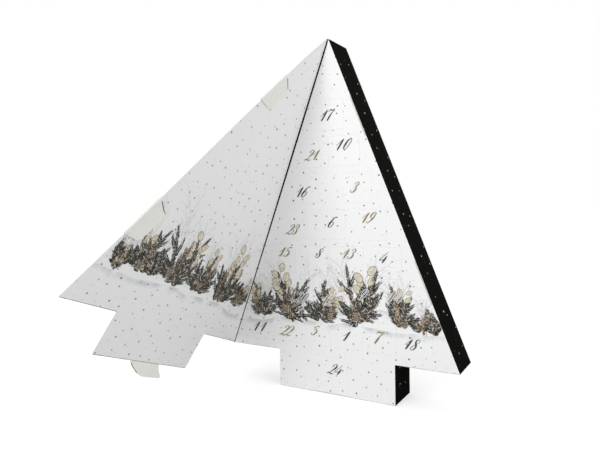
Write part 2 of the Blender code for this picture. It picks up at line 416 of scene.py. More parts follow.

# %% [markdown]
# ## The other papers
# The sides and the back are wrapped in black paper with a few pale dots. Where it is creased for the cover,
# its lower half fades to a grey olive in patches. Cut edges, the insert and the doors' backs show the board's
# grey-brown core, whose fibres run in short flecks. The tuck tabs are thin cream paper. Each finish could be
# wired by hand, but the same paper is met on several pieces in other tones, so one function makes each kind.


# %% Wrap, core and tab finishes
INSERT_TONES = (0.60, 0.56, 0.49, 1), (0.50, 0.45, 0.38, 1)
WRAP_TONES = (0.0022, 0.0026, 0.0018, 1), (0.0060, 0.0066, 0.0050, 1)
WRAP_INKS = (0.26, 0.25, 0.20, 1), (0.86, 0.86, 0.83, 1)
WRAP_DOTS = ((21, 1.0, 0.7, 0.08), (26, 1.1, 0.85, 1.0))
CREASE_GREY_OLIVE = (0.20, 0.20, 0.165, 1)
# The crease starts to turn grey olive below the first height and is fully grey olive below the second, in
# patches.
GREY_OLIVE_BELOW = (300 * MM, 60 * MM)
GREY_OLIVE_PATCHES = 150 * MM
FLECK = (0.25, 0.20, 0.14, 1)


def wrap_paper(name, axes=None, stretch=1.0, inside=None, greyer_foot=False):
    """Black paper: dotted on a pair of axes, bare board in front of a depth, or greyer towards its foot."""
    finish, nodes = new_finish(name, Specular_IOR_Level=0.004)
    split = nodes.split(nodes.place)
    fibre = nodes.noise(nodes.place, 650, 4)
    colour = nodes.mix(fibre, *WRAP_TONES)
    if axes:
        flat = nodes.add("ShaderNodeCombineXYZ", None, {"X": split[axes[0]], "Y": split[axes[1]] * stretch})
        colour = print_dots(nodes, flat["Vector"], colour, WRAP_DOTS, lambda lot: nodes.mix(lot, *WRAP_INKS))
    if inside:
        bare = nodes.mix(nodes.rise(nodes.noise(nodes.place, 420, 5), 0.3, 0.7), *INSERT_TONES)
        colour = nodes.mix(split["Y"] < inside, colour, bare)
    if greyer_foot:
        foot_mix = split["Z"] + nodes.noise(nodes.place, 240, 3) * GREY_OLIVE_PATCHES
        colour = nodes.mix(nodes.rise(foot_mix, *GREY_OLIVE_BELOW), colour, CREASE_GREY_OLIVE)
    nodes.surface(colour, fibre, spread=0.2, smoothest=0.5, strength=0.2, depth=0.04 * MM)
    return finish


def core_board(name, pale, dark, grain):
    """Uncoated board or paper: two tones of pulp in long flecks, and a soft tooth."""
    finish, nodes = new_finish(name)
    stretched = nodes.add("ShaderNodeMapping", None, {"Vector": nodes.place, "Scale": (1, 1, 0.35)})["Vector"]
    pulp = nodes.noise(stretched, grain, 5)
    flecks = nodes.rise(nodes.noise(nodes.place, grain * 1.9, 2), 0.66, 0.74)
    colour = nodes.mix(flecks * 0.35, nodes.mix(nodes.rise(pulp, 0.3, 0.7), pale, dark), FLECK)
    nodes.surface(colour, pulp, spread=0.1, smoothest=0.8, strength=0.3, depth=0.06 * MM)
    return finish


wrap_sides = wrap_paper("wrap_sides", "YZ", 1 / SLOPE.z)
wrap_under = wrap_paper("wrap_under", "YX")
wrap_back = wrap_paper("wrap_back", "XZ", inside=BACK - BOARD + 0.1 * MM)
crease_black = wrap_paper("crease_black", greyer_foot=True)
raw_edge = core_board("raw_edge", (0.62, 0.56, 0.47, 1), (0.47, 0.40, 0.31, 1), 900)
insert_board = core_board("insert_board", *INSERT_TONES, 420)
grey_edge = core_board("grey_edge", (0.60, 0.60, 0.59, 1), (0.48, 0.48, 0.47, 1), 900)
tab_paper = core_board("tab_paper", (0.87, 0.865, 0.82, 1), (0.83, 0.825, 0.78, 1), 500)
slot_lining = core_board("slot_lining", (0.84, 0.82, 0.76, 1), (0.78, 0.75, 0.68, 1), 700)
# A near-black brown, painted shadow along the upper end of each tab where it stands off the leaf.
tab_end_shadow = core_board("tab_end_shadow", (0.075, 0.07, 0.045, 1), (0.03, 0.028, 0.018, 1), 900)
print("papers ready")

# %% [markdown]
# ## From bmesh to piece
# Each piece starts as a bmesh that is shaped in place, in the frame's own metres, so its object stays at the
# origin. A piece cut from a packed board starts from a copy of that board's mesh: the copy's doubles are
# merged and its flat triangles dissolved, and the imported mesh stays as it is.


# %% Piece helpers
NEAR = 0.02 * MM


def board_of(node):
    """A clean bmesh copy of a packed board."""
    shape = bmesh.new()
    shape.from_mesh(frame["nodes"][node].data)
    bmesh.ops.remove_doubles(shape, verts=shape.verts, dist=0.001 * MM)
    bmesh.ops.dissolve_limit(shape, angle_limit=math.radians(1), verts=shape.verts, edges=shape.edges)
    return shape


def finished(name, shape, finishes):
    """The object of a bmesh, with the materials that its faces use."""
    used = sorted({face.material_index for face in shape.faces})
    for face in shape.faces:
        face.material_index = used.index(face.material_index)
    mesh = bpy.data.meshes.new(name)
    shape.to_mesh(mesh)
    shape.free()
    for index in used:
        mesh.materials.append(finishes[index])
    made = bpy.data.objects.new(name, mesh)
    bpy.context.collection.objects.link(made)
    return made


def soften_front(shape, width, segments):
    """Turn the front face over at its cuts, with a narrow bevel along every sharp edge that lies in it."""
    edges = [edge for edge in shape.edges if all(abs(vert.co.y - FRONT) < NEAR for vert in edge.verts)
             and len(edge.link_faces) == 2 and edge.calc_face_angle() > math.radians(30)]
    bmesh.ops.bevel(shape, geom=edges, offset=width, segments=segments, profile=0.5, material=-1,
                    affect="EDGES")


def faces_front(face):
    return face.normal.y < -0.3


def cut_plane(shape, place, normal, clear=False):
    """Cut a shape along a plane, and drop what lies beyond it if asked."""
    bmesh.ops.bisect_plane(shape, geom=[*shape.verts, *shape.edges, *shape.faces], plane_co=place,
                           plane_no=normal, clear_outer=clear)


def add_block(shape, middle, size, axes=Matrix.Identity(4)):
    """Add a block, along axes of its own if asked. It returns the block's vertices."""
    place = Matrix.Translation(middle) @ axes @ Matrix.Diagonal((*size, 1))
    return bmesh.ops.create_cube(shape, size=1, matrix=place)["verts"]


def draw_out(shape, line):
    """Extrude a line of edges without moving it. It returns the new line's vertices and edges."""
    drawn = bmesh.ops.extrude_edge_only(shape, edges=line)["geom"]
    verts = [part for part in drawn if isinstance(part, bmesh.types.BMVert)]
    edges = [part for part in drawn if isinstance(part, bmesh.types.BMEdge)
             and all(vert in verts for vert in part.verts)]
    return verts, edges


print("piece helpers ready")

# %% [markdown]
# ## Front board
# The front is one die-cut board. Its printed face turns over a small radius at every cut, its outer edge is
# covered by the black wrap, and the raw core shows in the door openings and in the slots for the tuck tabs.
# The print runs on beside the crease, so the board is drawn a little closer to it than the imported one, and
# the slots are drawn as narrow as paper needs. Booleans could cut the board again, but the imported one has
# every opening already, so a copy of it is finished.

# %% Front board
SLOT_DEPTH = 1.3 * MM
CREASE_LOW = 0.95 * MM
CREASE_HIGH = 1.05 * MM
CREASE_SPREAD = 0.65 * MM
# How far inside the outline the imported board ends, at least and at most: beside the crease, and in the slots.
PACKED_CREASE = (1.5 * MM, 3.2 * MM)
PACKED_SLOT = (2 * MM, 3.2 * MM)


def crease_line(height, spread=0.0):
    """How far the crease reaches on to the front at a height. A spread adds to it between its ends."""
    down = down_slope(height)
    middle = max(math.sin(math.pi * min(max(down, 0.0), 1.0) ** 0.75), 0.0) ** 0.7
    return CREASE_HIGH + (CREASE_LOW - CREASE_HIGH) * down + spread * middle


def within(value, limits):
    return limits[0] < value < limits[1]


def rim_distance(point):
    """How far a point of the front lies inside the outline."""
    if point.z < TREE_FOOT - 0.01 * MM:
        return min(TRUNK_HALF - abs(point.x), point.z)
    slope = min(from_slope(point, -1), from_slope(point, 1))
    if abs(point.x) < TRUNK_HALF:
        return slope
    return min(slope, point.z - TREE_FOOT)


shape = board_of("front_panel")
beside_crease = [vert for vert in shape.verts
                 if within(from_slope(vert.co, -1), PACKED_CREASE) and vert.co.z > TREE_FOOT - MM]
for vert in beside_crease:
    high = vert.co.z > APEX / 2
    corner = Vector((0 if high else -TREE_HALF, vert.co.y, APEX if high else TREE_FOOT))
    vert.co = corner + (vert.co - corner) * (crease_line(vert.co.z) / from_slope(vert.co, -1))
in_slots = 0
for vert in shape.verts:
    depth = from_slope(vert.co, 1)
    if vert.co.z > TREE_FOOT + MM and within(depth, PACKED_SLOT):
        vert.co += Vector((SLOPE.z, 0, SLOPE.x)) * (depth - SLOT_DEPTH)
        in_slots += 1
    elif abs(vert.co.x) < TRUNK_HALF - MM and within(vert.co.z, PACKED_SLOT):
        vert.co.z = SLOT_DEPTH
        in_slots += 1
soften_front(shape, width=0.07 * MM, segments=2)
for face in shape.faces:
    middle = face.calc_center_median()
    if faces_front(face):
        face.material_index = 0
    elif rim_distance(middle) < 0.2 * MM and abs(face.normal.z) < 0.9:
        face.material_index = 1
    else:
        face.material_index = 2
front_board = finished("front_board", shape, [print_front, wrap_sides, raw_edge])
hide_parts("front_panel")
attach(front_board, "box")
print("front board:", len(front_board.data.polygons), "faces;", len(beside_crease),
      "corners moved to the crease,", in_slots, "to the slots")

# %% [markdown]
# ## Doors
# A die cut leaves a hairline around three sides of a door. On the fourth the board is only creased: the
# printed ply runs on across the crease and bends as the door opens. A stiff board would leave a gap there, or
# cut into the front. So each door is a board with a thin lip of ply extruded from its left edge.

# %% Doors
HAIRLINE = 0.04 * MM
CREASE = 0.55 * MM
PLY = 0.12 * MM
PLY_DEPTH = 0.04 * MM
LIP_STEPS = 3
DOOR_FREE = 0.4 * MM


def opening_of(node):
    """The lowest and highest corner of a door's opening in the front."""
    low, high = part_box(node)
    spare = Vector((DOOR_FREE, 0, DOOR_FREE))
    return Vector((low.x, FRONT, low.z)) - spare, Vector((high.x, FRONT, high.z)) + spare


def hang(piece, node):
    """Bake a piece's transform into its mesh."""
    opening = opening_of(node)[0]
    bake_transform(piece)
    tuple(opening)


def cut_door(node):
    opening, corner = opening_of(node)
    left, right_side = opening.x + CREASE, corner.x - HAIRLINE
    bottom, top = opening.z + HAIRLINE, corner.z - HAIRLINE
    shape = bmesh.new()
    add_block(shape, ((left + right_side) / 2, FRONT + BOARD / 2, (bottom + top) / 2),
              (right_side - left, BOARD, top - bottom))
    for depth in (PLY_DEPTH, PLY_DEPTH + PLY):
        cut_plane(shape, (0, FRONT + depth, 0), (0, 1, 0))
    lip = [face for face in shape.faces if face.normal.x < -0.9
           and abs(face.calc_center_median().y - FRONT - PLY_DEPTH - PLY / 2) < NEAR]
    for step in range(LIP_STEPS):
        lip = bmesh.ops.extrude_discrete_faces(shape, faces=lip)["faces"]
        verts = {vert for face in lip for vert in face.verts}
        bmesh.ops.translate(shape, verts=list(verts), vec=(-CREASE / LIP_STEPS, 0, 0))
    soften_front(shape, width=0.05 * MM, segments=1)
    for face in shape.faces:
        face.material_index = 0 if faces_front(face) else 1
    door = finished(node + "_board", shape, [print_front, raw_edge])
    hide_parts(node)
    hang(door, node)
    return door


door_boards = [cut_door(node) for node in DOORS]
print(len(door_boards), "doors cut")

# %% [markdown]
# ## Black wrap
# The sides are one strip of black board folded round the outline. Separate walls would show joints at the
# corners, so they are made as one ring: the outline's corners, drawn out from the front board to the back
# board and given the board's thickness inwards, where it is bare. At the three slots the wrap's edge comes
# forward to the print, and there its cut edge shows the pale core.

# %% Side wrap
OUTLINE = [(-TRUNK_HALF, 0), (TRUNK_HALF, 0), (TRUNK_HALF, TREE_FOOT), (TREE_HALF, TREE_FOOT), (0, APEX),
           (-TREE_HALF, TREE_FOOT), (-TRUNK_HALF, TREE_FOOT)]
SEAM = 0.02 * MM
SLOT_LENGTH = 54 * MM
LEDGE = 0.85 * MM
TAB_INSET = 0.5 * MM
TABS = {"tuck_tab_upper": (SLOPE.z, SLOPE.x), "tuck_tab_lower": (SLOPE.z, SLOPE.x), "tuck_tab_trunk": (0, -1)}


def tab_axes(tab):
    """A tab's crease on the shut leaf, and the ways out from the leaf's edge and along it."""
    crease = shut @ Vector(joints[tab + "_crease"]["pos_m"])
    out_x, out_z = TABS[tab]
    return crease, Vector((out_x, 0, out_z)), Vector((-out_z, 0, out_x))


shape = bmesh.new()
corners = [shape.verts.new((x, FRONT + BOARD + SEAM, z)) for x, z in OUTLINE]
ring = [shape.edges.new((corners[index - 1], corners[index])) for index in range(len(corners))]
bmesh.ops.translate(shape, verts=draw_out(shape, ring)[0], vec=(0, BACK - FRONT - 2 * BOARD - 2 * SEAM, 0))
bmesh.ops.recalc_face_normals(shape, faces=shape.faces)
bmesh.ops.solidify(shape, geom=shape.faces[:], thickness=BOARD)
add_block(shape, (0, 0, TREE_FOOT + BOARD / 2),
          (2 * TRUNK_HALF - 0.1 * MM, BACK - FRONT - 2 * BOARD - 4 * SEAM, BOARD))
for tab in TABS:
    crease, outward, along = tab_axes(tab)
    edge = crease + outward * TAB_INSET
    middle = Vector((edge.x, FRONT + BOARD / 2 + SEAM, edge.z)) - outward * (LEDGE + SEAM) / 2
    made = add_block(shape, middle, (LEDGE - SEAM, BOARD, SLOT_LENGTH - 2 * SEAM),
                     Matrix((outward, Vector((0, 1, 0)), along)).transposed().to_4x4())
    for face in {face for vert in made for face in vert.link_faces}:
        face.normal_update()
        face.material_index = 0 if face.normal.dot(outward) > 0.5 else 2
for face in shape.faces:
    if face.material_index == 0 and rim_distance(face.calc_center_median()) > MM:
        face.material_index = 3
    elif face.material_index == 0 and abs(face.normal.z) > 0.9:
        face.material_index = 1
side_wrap = finished("side_wrap", shape, [wrap_sides, wrap_under, slot_lining, insert_board])
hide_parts("base_floor", "left_wall", "right_wall", "trunk_floor", "trunk_left_wall",
            "trunk_right_wall")
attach(side_wrap, "box")
print("wrap:", len(side_wrap.data.polygons), "faces")

# %% [markdown]
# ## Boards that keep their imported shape
# The back and the divider insert are plain boards already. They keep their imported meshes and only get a
# finish.


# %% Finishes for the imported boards
def paint(node, finish):
    packed = frame["nodes"][node]
    for slot in packed.material_slots:
        slot.link = "OBJECT"
        slot.material = finish


for node in frame["nodes"]:
    if node.startswith(("shelf_", "divider_")):
        paint(node, insert_board)
paint("back_panel", wrap_back)
print("packed boards painted")

# %% [markdown]
# ## Cover leaf
# The leaf is thinner board. Near its top it stands a little off the crease and has warped away from the box.
# It is cut across in a grid while shut, so that there are points to bend, and then each point is moved by one
# smooth function. A lattice could bend the board too, but the function also serves the drawings, the strip
# and the tabs.

# %% Cover leaf
LEAF_INNER = FRONT - GAP
LEAF_BOARD = 0.9 * MM
LEAF_GRID = 10 * MM
# From this share of the way down the leaf is snug. That much higher it is fully loose, and then it stands off
# by a gap and by a warp that grows across it.
SNUG_FROM = 0.75
LOOSE_OVER = 0.45
STAND_OFF = 0.5 * MM
WARP = 2.0 * MM


def smooth(value):
    """0 up to 0, 1 from 1 on, and a smooth step between."""
    value = min(max(value, 0.0), 1.0)
    return value * value * (3 - 2 * value)


def warp(point):
    """How far the board stands off its flat shape, at a point of the shut leaf."""
    down = down_slope(point.z)
    half = max(half_width(point.z), MM)
    across = min(max((point.x + half) / (2 * half), 0.0), 1.0)
    loose = smooth((SNUG_FROM - down) / LOOSE_OVER)
    return -loose * (STAND_OFF + WARP * across * min(max(down, 0.0) / 0.1, 1.0))


def bend(shape):
    """Warp a shape that is drawn on the shut leaf, and turn it open with the leaf."""
    for vert in shape.verts:
        vert.co.y += warp(vert.co)
    bmesh.ops.transform(shape, matrix=opened, verts=shape.verts)


shape = board_of("cover_board")
bmesh.ops.transform(shape, matrix=shut, verts=shape.verts)
for index in range(-15, 16):
    cut_plane(shape, (index * LEAF_GRID, 0, 0), (1, 0, 0))
for index in range(46):
    cut_plane(shape, (0, 0, index * LEAF_GRID), (0, 0, 1))
for face in shape.faces:
    face.material_index = 0 if abs(face.normal.y) > 0.5 else 1
bend(shape)
cover_leaf = finished("cover_leaf", shape, [print_cover, grey_edge])
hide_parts("cover_board")
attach(cover_leaf, "cover")
print("cover leaf:", len(cover_leaf.data.polygons), "faces")

# %% [markdown]
# ## Crease strip
# A black ply joins the box to the leaf. It starts on the front, where it reaches farthest in its middle, goes
# round the edge of the left slope and ends on the leaf's outside. Its section is drawn once at the foot and
# extruded up the slope in short steps: one long face would be simpler, but it couldn't follow the leaf where
# the leaf stands off.

# %% Crease strip
STEPS = 24


def strip_section(height):
    """The strip's section as reach and depth: on the front, round the edge, and on the leaf's outside."""
    outer = LEAF_INNER - LEAF_BOARD
    return [(-crease_line(height, CREASE_SPREAD), FRONT - 0.03 * MM), (-0.2 * MM, FRONT - 0.05 * MM),
            (0.1 * MM, LEAF_INNER), (0, outer - 0.03 * MM), (-2.5 * MM, outer - 0.06 * MM)]


def crease_point(reach, depth, height):
    """A point of the strip. The first two of its section keep to the box, and the rest go with the leaf."""
    reach = max(reach, -0.8 * half_width(height) * SLOPE.z)
    point = Vector((-half_width(height) - reach / SLOPE.z, depth, height))
    if depth <= LEAF_INNER + 0.01 * MM:
        point.y += warp(point)
        point = opened @ point
    return point


shape = bmesh.new()
heights = [TREE_FOOT + (APEX - 8 * MM - TREE_FOOT) * step / STEPS for step in range(STEPS + 1)]
# The last ones are closer together, where the strip runs to a point.
heights += [APEX - 4 * MM, APEX - 1.8 * MM, APEX - 0.5 * MM]
row = [shape.verts.new(crease_point(reach, depth, heights[0])) for reach, depth in strip_section(heights[0])]
line = [shape.edges.new(pair) for pair in zip(row, row[1:])]
for height in heights[1:]:
    following, line = draw_out(shape, line)
    ordered = [next(edge.other_vert(vert) for edge in vert.link_edges if edge.other_vert(vert) in following)
               for vert in row]
    for vert, (reach, depth) in zip(ordered, strip_section(height)):
        vert.co = crease_point(reach, depth, height)
    row = ordered
bmesh.ops.recalc_face_normals(shape, faces=shape.faces)
crease_strip = finished("crease_strip", shape, [crease_black])
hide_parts("hinge_strip")
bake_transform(crease_strip)
print("crease strip:", len(crease_strip.data.polygons), "faces")

# %% [markdown]
# ## Tuck tabs
# A tab is thin cream paper. The two on the slope are folded over on to the inside in a soft, springy fold,
# the upper one a little shorter, and the one on the trunk is bent back in a curve. Each is cut flat first: a
# strip with slanted ends and rounded corners, with cuts across it where it will bend. Then every point is
# carried along the fold's section, a short path that is measured out in the paper's own length. A cloth
# simulation could fold them as well, but a section can be drawn just as the paper lies.


# %% Tuck tabs
# In millimetres: a tab's ends, its reach, how much it tapers, its corners' radius, the width of the painted
# shadow along its upper end, and how far apart it is cut to bend, in the fold, on the flat and lengthways.
TAB_ENDS = {"tuck_tab_upper": (-22, 26.5), "tuck_tab_lower": (-25.5, 25.5), "tuck_tab_trunk": (-25.5, 25.5)}
TAB_REACH = 19
TAB_TAPER = 6
TAB_CORNER = 5.5
TAB_END_SHADOW = 1.2
FOLD_STEP = 0.4
FLAT_STEP = 2.0
COLUMN_STEP = 9
TAB_PAPER = 0.35 * MM
TAB_BLEND = (-0.4 * MM, 0.7 * MM)
# Each fold's section, in millimetres: how far out from the leaf's edge, and how far above the leaf's inside.
FOLD_PATHS = {
    "tuck_tab_upper": [(-0.3, -0.45), (0.5, -0.6), (1.7, -0.6), (2.5, -0.15), (2.5, 0.35), (1.8, 0.7),
                       (0.5, 0.75), (-3, 0.7), (-9, 0.65), (-15, 0.75), (-19.5, 1.0)],
    "tuck_tab_lower": [(-0.3, -0.45), (0.5, -0.6), (1.5, -0.65), (2.3, -0.2), (2.4, 0.5), (1.7, 1.1),
                       (0.5, 1.25), (-3, 1.1), (-9, 1.0), (-15, 1.3), (-19.5, 1.9)],
    "tuck_tab_trunk": [(-0.3, -0.45), (0.5, -0.4), (2.0, 0.9), (4.2, 3.6), (6.2, 7.1), (7.8, 10.8),
                       (9.5, 15.5), (9.9, 17.0)],
}


def along_path(path, length):
    """The point at a length of paper along a path, in millimetres, from the leaf's edge."""
    for start, end in zip(path, path[1:]):
        part = (Vector(end) - Vector(start)).length
        if length <= part:
            return Vector(start).lerp(Vector(end), length / part)
        length -= part
    return Vector(path[-1]) + (Vector(path[-1]) - Vector(path[-2])).normalized() * length


def cut_tab(tab):
    path = FOLD_PATHS[tab]
    low_end, high_end = TAB_ENDS[tab]
    total = sum((Vector(b) - Vector(a)).length for a, b in zip(path, path[1:]))
    root = total - TAB_REACH
    shape = bmesh.new()
    flat = [shape.verts.new((x * MM, y * MM, 0)) for x, y in
            ((low_end, 0), (high_end, 0), (high_end, root), (high_end - TAB_TAPER, total),
             (low_end + TAB_TAPER, total), (low_end, root))]
    shape.faces.new(flat)
    bmesh.ops.bevel(shape, geom=[flat[3], flat[4]], offset=TAB_CORNER * MM, segments=7, profile=0.5,
                    material=-1, affect="VERTICES")
    step = FOLD_STEP
    while step < total:
        cut_plane(shape, (0, step * MM, 0), (0, 1, 0))
        step += FOLD_STEP if step < root + 2.5 else FLAT_STEP
    for column in range(-2, 3):
        cut_plane(shape, (column * COLUMN_STEP * MM, 0, 0), (1, 0, 0))
    slant = Vector((TAB_REACH, TAB_TAPER, 0)).normalized()
    shadow_start = Vector(((high_end - TAB_END_SHADOW) * MM, root * MM, 0))
    cut_plane(shape, shadow_start, slant)
    # Faces along the upper end, past the fold, take a dark brown: painted shadow where the end stands off the
    # leaf.
    for face in shape.faces:
        middle = face.calc_center_median()
        at_end = (middle - shadow_start).dot(slant) > 0 and root + 1.5 < middle.y / MM < total - 4
        face.material_index = 1 if at_end else 0
    crease, outward, along = tab_axes(tab)
    level = Vector((crease.x, LEAF_INNER, crease.z))
    for vert in shape.verts:
        reach, depth = along_path(path, vert.co.y / MM)
        spot = level + along * vert.co.x
        vert.co = spot + outward * reach * MM + Vector((0, depth * MM + warp(spot), 0))
    bmesh.ops.recalc_face_normals(shape, faces=shape.faces)
    bmesh.ops.solidify(shape, geom=shape.faces[:], thickness=TAB_PAPER)
    bmesh.ops.transform(shape, matrix=opened, verts=shape.verts)
    made = finished(tab + "_paper", shape, [tab_paper, tab_end_shadow])
    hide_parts(tab)
    level.y += warp(level)
    start, end = [opened @ (level + Vector((0, depth, 0))) for depth in TAB_BLEND]
    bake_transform(made)
    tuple(start)
    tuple(end)
    return made


tab_pieces = [cut_tab(tab) for tab in FOLD_PATHS]
print("tabs:", [len(piece.data.polygons) for piece in tab_pieces], "faces")

# %% [markdown]
# ## Inks
# The print could be painted as a picture and wrapped on. It is laid on instead as thin flat shapes a few
# hundredths of a millimetre above the board, so that its edges stay sharp at any distance. Each ink pools a
# little, as a wash does, because two tones are mixed by a fine noise.


# %% Inks
def printing_ink(name, colour, second, roughness=0.5, metallic=0.0):
    finish, nodes = new_finish(name, Roughness=roughness, Metallic=metallic)
    pools = nodes.rise(nodes.noise(nodes.place, 260, 3), 0.35, 0.68)
    nodes.feed(nodes.shader["Base Color"], nodes.mix(pools, (*colour, 1), (*second, 1)))
    return finish


INKS = [
    printing_ink("ink_night_green", (0.010, 0.013, 0.010), (0.035, 0.038, 0.030)),
    printing_ink("ink_needle_green", (0.035, 0.040, 0.030), (0.085, 0.088, 0.068)),
    printing_ink("ink_frost", (0.50, 0.47, 0.39), (0.66, 0.64, 0.58)),
    printing_ink("ink_bark", (0.11, 0.065, 0.042), (0.22, 0.14, 0.085)),
    printing_ink("ink_pod", (0.60, 0.55, 0.40), (0.76, 0.72, 0.60)),
    printing_ink("ink_mist", (0.44, 0.45, 0.44), (0.60, 0.60, 0.58)),
    printing_ink("ink_brass", (0.34, 0.21, 0.09), (0.46, 0.32, 0.16)),
    printing_ink("ink_black", (0.012, 0.012, 0.012), (0.035, 0.035, 0.035), 0.45),
    printing_ink("ink_bronze", (0.23, 0.175, 0.075), (0.35, 0.28, 0.135), 0.4, 0.2),
    printing_ink("ink_white", (0.84, 0.84, 0.84), (0.78, 0.79, 0.79)),
]
NIGHT, NEEDLE, FROST, BARK, POD, MIST, BRASS, BLACK, BRONZE, WHITE = range(len(INKS))
print(len(INKS), "inks")

# %% [markdown]
# ## Drawing plants
# Needles, stems, seeds and scales are all one small lozenge, a circle of four points that is stretched,
# turned and set down. A plant is drawn on a page of its own with its foot at the origin, in the plane of the
# front.


# %% One lozenge, and lines of them
def ahead(x, z, heading, length):
    """The point some way along a heading."""
    return x + math.cos(heading) * length, z + math.sin(heading) * length


def lozenge(page, x, z, heading, length, width, lift, ink, corners=4):
    """A flat lozenge, or an oval of more corners, that starts at a point and runs along a heading."""
    x, z = ahead(x, z, heading, length / 2)
    turn = Matrix.Rotation(-heading, 4, "Y") @ Matrix.Rotation(math.pi / 2, 4, "X")
    place = Matrix.Translation((x, -lift, z)) @ turn @ Matrix.Diagonal((length / 2, width / 2, 1, 1))
    made = bmesh.ops.create_circle(page, cap_ends=True, segments=corners, radius=1, matrix=place)
    made["verts"][0].link_faces[0].material_index = ink


def draw_stem(page, x, z, heading, length, width, lift, ink, curl=0.0, steps=4):
    """A stem of a few overlapping lozenges that curls as it goes. It returns its points and headings."""
    points = [(x, z, heading)]
    part = length / steps
    for step in range(steps):
        lozenge(page, x, z, heading, part * 1.25, width * (1 - 0.5 * step / steps), lift, ink)
        x, z = ahead(x, z, heading, part)
        heading += curl / steps
        points.append((x, z, heading))
    return points


def draw_stalk(page, x, z, heading, length, width, lift):
    """A short straight stalk. It returns its tip."""
    return draw_stem(page, x, z, heading, length, width, lift, BARK, 0, 1)[-1][:2]


def draw_needles(page, lot, x, z, heading, length, reach, lift, curl=0.0, spacing=1.0 * MM):
    """A twig's needles, in pairs, shorter towards its tip. Most are dark, some green and a few frosted."""
    steps = max(int(length / spacing), 2)
    for step in range(steps + 1):
        share = step / steps
        for side in (-1, 1):
            draw = lot.random()
            ink, over = (NIGHT, 0) if draw < 0.78 else (NEEDLE, 0.02) if draw < 0.93 else (FROST, 0.04)
            tilt = side * (0.85 - 0.35 * share) + lot.uniform(-0.2, 0.2)
            long = reach * (1 - 0.45 * share) * lot.uniform(0.7, 1.15)
            wide = 0.18 if ink == FROST else 0.30
            lozenge(page, x, z, heading + tilt, long, long * wide, lift + over * MM, ink)
        x, z = ahead(x, z, heading, spacing)
        heading += curl / steps
    lozenge(page, x, z, heading, reach * 0.6, reach * 0.12, lift, NIGHT)


print("lozenge, stem and needles ready")

# %% [markdown]
# Five kinds of greenery fill the border: fir twigs, honesty with its flat pods, bare twigs in the mist,
# berries and cones. Each takes its length and a seeded source of chance, so that no two twigs are alike and
# every run draws the same ones.


# %% Greenery of the border
def draw_fir(page, lot, length, lift):
    """A fir twig: a curved stem with needles along both sides, and three side twigs."""
    curl = lot.uniform(-0.6, 0.6)
    stem = draw_stem(page, 0, 0, math.pi / 2, length, 1.1 * MM, lift + 0.05 * MM, BARK, curl, 8)
    draw_needles(page, lot, 0, 0, math.pi / 2, length, 7 * MM, lift, curl)
    for place, side, share in ((1, 1, 0.46), (2, -1, 0.44), (4, 1, 0.32), (5, -1, 0.26)):
        x, z, heading = stem[place]
        draw_needles(page, lot, x, z, heading + side * lot.uniform(0.6, 0.85), length * share, 5.5 * MM, lift,
                     curl=-side * lot.uniform(0, 0.5))


def draw_pods(page, lot, height, lift):
    """Honesty: a thin brown stem, and flat cream pods with a brown rim and a few seeds showing."""
    lean = math.pi / 2 + lot.uniform(-0.15, 0.15)
    stem = draw_stem(page, 0, 0, lean, height * 0.82, 0.8 * MM, lift, BARK, lot.uniform(-0.3, 0.3), 7)
    for place, (x, z, heading) in enumerate(stem[2:]):
        for side in ((-1, 1) if place % 2 else (1, -1))[:2 if place < 4 else 1]:
            tilt = heading + side * lot.uniform(0.5, 0.9)
            px, pz = draw_stalk(page, x, z, tilt, height * lot.uniform(0.07, 0.13), 0.5 * MM, lift)
            long = height * lot.uniform(0.17, 0.22)
            over = lift + (0.012 + 0.02 * place + (0.01 if side > 0 else 0)) * MM
            lozenge(page, px, pz, tilt, long, long * 0.72, over, BARK, 18)
            inner = long * 0.9
            ix, iz = ahead(px, pz, tilt, (long - inner) / 2)
            lozenge(page, ix, iz, tilt, inner, inner * 0.70, over + 0.004 * MM, POD, 18)
            for seed in range(3):
                sx, sz = ahead(ix, iz, tilt, inner * (0.3 + 0.18 * seed))
                sx += lot.uniform(-0.6, 0.6) * MM
                sz += lot.uniform(-0.6, 0.6) * MM
                lozenge(page, sx, sz, tilt, 1.3 * MM, 0.9 * MM, over + 0.008 * MM, BRASS, 6)
            draw_stalk(page, *ahead(px, pz, tilt, long), tilt, 2 * MM, 0.35 * MM, lift)


def draw_bare(page, lot, height, lift, ink=MIST, x=0.0, z=0.0, heading=math.pi / 2, order=3):
    """A bare forked twig: each stem carries thinner ones, three times over."""
    stem = draw_stem(page, x, z, heading + lot.uniform(-0.08, 0.08), height, (0.45 + 0.25 * order) * MM, lift,
                     ink, lot.uniform(-0.25, 0.25), 5)
    if order == 0:
        return
    for place, (px, pz, turn) in enumerate(stem[1:]):
        side = 1 if place % 2 else -1
        for tilt in ((side, -side) if order > 1 else (side,)):
            draw_bare(page, lot, height * lot.uniform(0.28, 0.42), lift, ink, px, pz,
                      turn + tilt * lot.uniform(0.35, 0.7), order - 1 if order < 3 else 1)


def draw_berries(page, lot, height, lift):
    """An arching bark-brown twig with brass berries on short stalks."""
    curl = lot.choice((-0.7, 0.7))
    stem = draw_stem(page, 0, 0, math.pi / 2 - curl * 0.35, height, 0.8 * MM, lift, BARK, curl, 7)
    for place, (x, z, heading) in enumerate(stem[1:]):
        for side in (-1, 1):
            bx, bz = draw_stalk(page, x, z, heading + side * lot.uniform(0.5, 1.0), 2.6 * MM, 0.4 * MM, lift)
            size = lot.uniform(2.0, 2.8) * MM
            lozenge(page, bx - size / 2, bz, 0, size, size, lift + 0.01 * MM, BARK, 10)
            inner = size * 0.8
            lozenge(page, bx - size * 0.42, bz + size * 0.06, 0, inner, inner, lift + 0.02 * MM, BRASS, 10)


